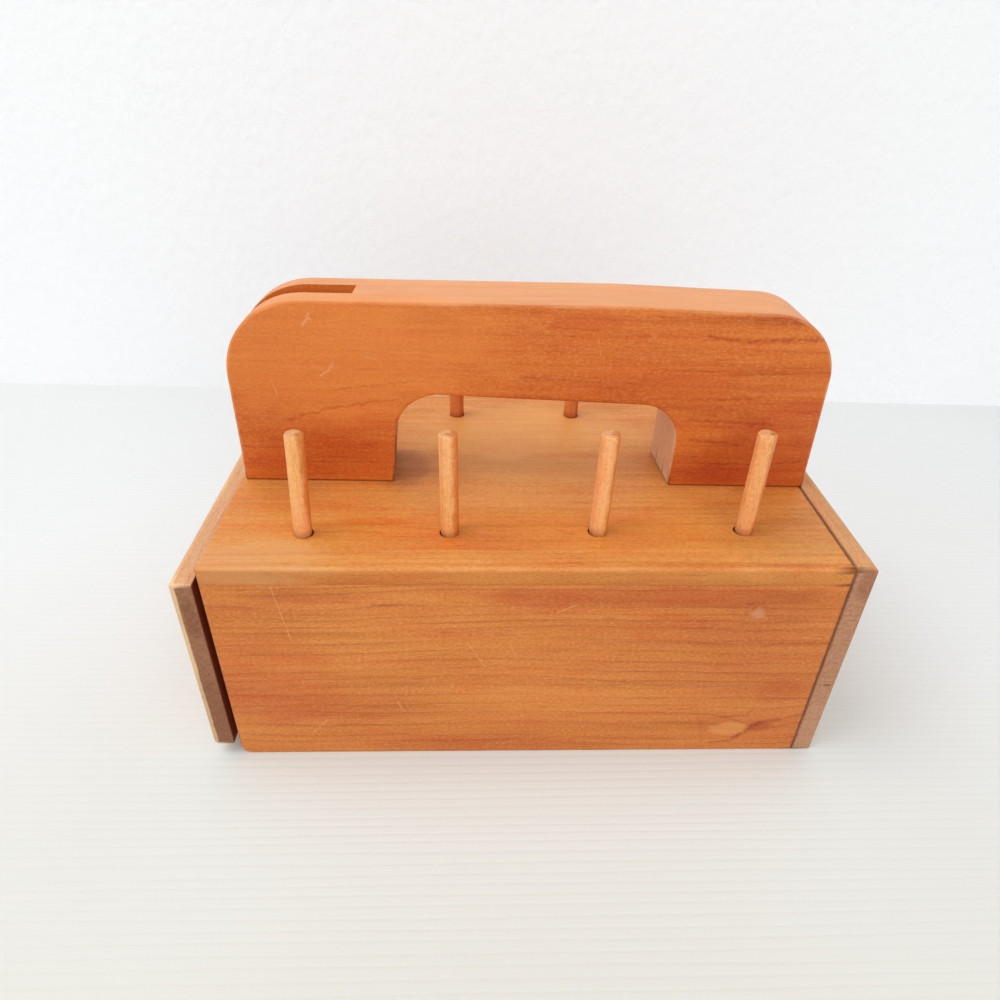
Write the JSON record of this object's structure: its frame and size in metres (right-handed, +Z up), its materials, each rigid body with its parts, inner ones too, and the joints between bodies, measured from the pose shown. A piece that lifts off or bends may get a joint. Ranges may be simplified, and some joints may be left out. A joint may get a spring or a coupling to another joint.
{
  "type": "thread spool storage box",
  "caption": "Wooden sewing box with an end drawer, a carrying handle with a scissors pocket, and upright pegs for thread spools.",
  "frame": {"origin": "centre of the box's underside, on the surface it stands on", "axes": "+X along the box towards its closed right end, the drawer leaves along -X, +Y to the rear, +Z up"},
  "size_m": [0.2979, 0.1556, 0.1896],
  "materials": {
    "board_wood": "oiled, worn",
    "end_wood": "oiled, worn",
    "handle_wood": "oiled, worn",
    "peg_wood": "bare",
    "inner_wood": "bare",
    "steel": "zinc plated"
  },
  "bodies": {
    "case": {"top_panel": "board_wood", "front_panel": "board_wood", "rear_panel": "board_wood", "bottom_panel": "inner_wood", "right_end_panel": "end_wood", "handle_front_plate": "handle_wood", "handle_core": "handle_wood", "handle_rear_plate": "handle_wood", "handle_screws": "steel", "peg_front_1": "peg_wood", "peg_front_2": "peg_wood", "peg_front_3": "peg_wood", "peg_front_4": "peg_wood", "peg_rear_1": "peg_wood", "peg_rear_2": "peg_wood", "peg_rear_3": "peg_wood", "peg_rear_4": "peg_wood"},
    "drawer": {"drawer_front": "end_wood", "drawer_side_front": "inner_wood", "drawer_side_rear": "inner_wood", "drawer_back": "inner_wood", "drawer_bottom": "inner_wood", "drawer_knob": "end_wood", "drawer_knob_screw": "steel"}
  },
  "joints": [
    {"name": "drawer_slide", "type": "slide", "parent": "case", "child": "drawer", "axis": [-1, 0, 0], "range_m": [-0.0024, 0.2]}
  ]
}
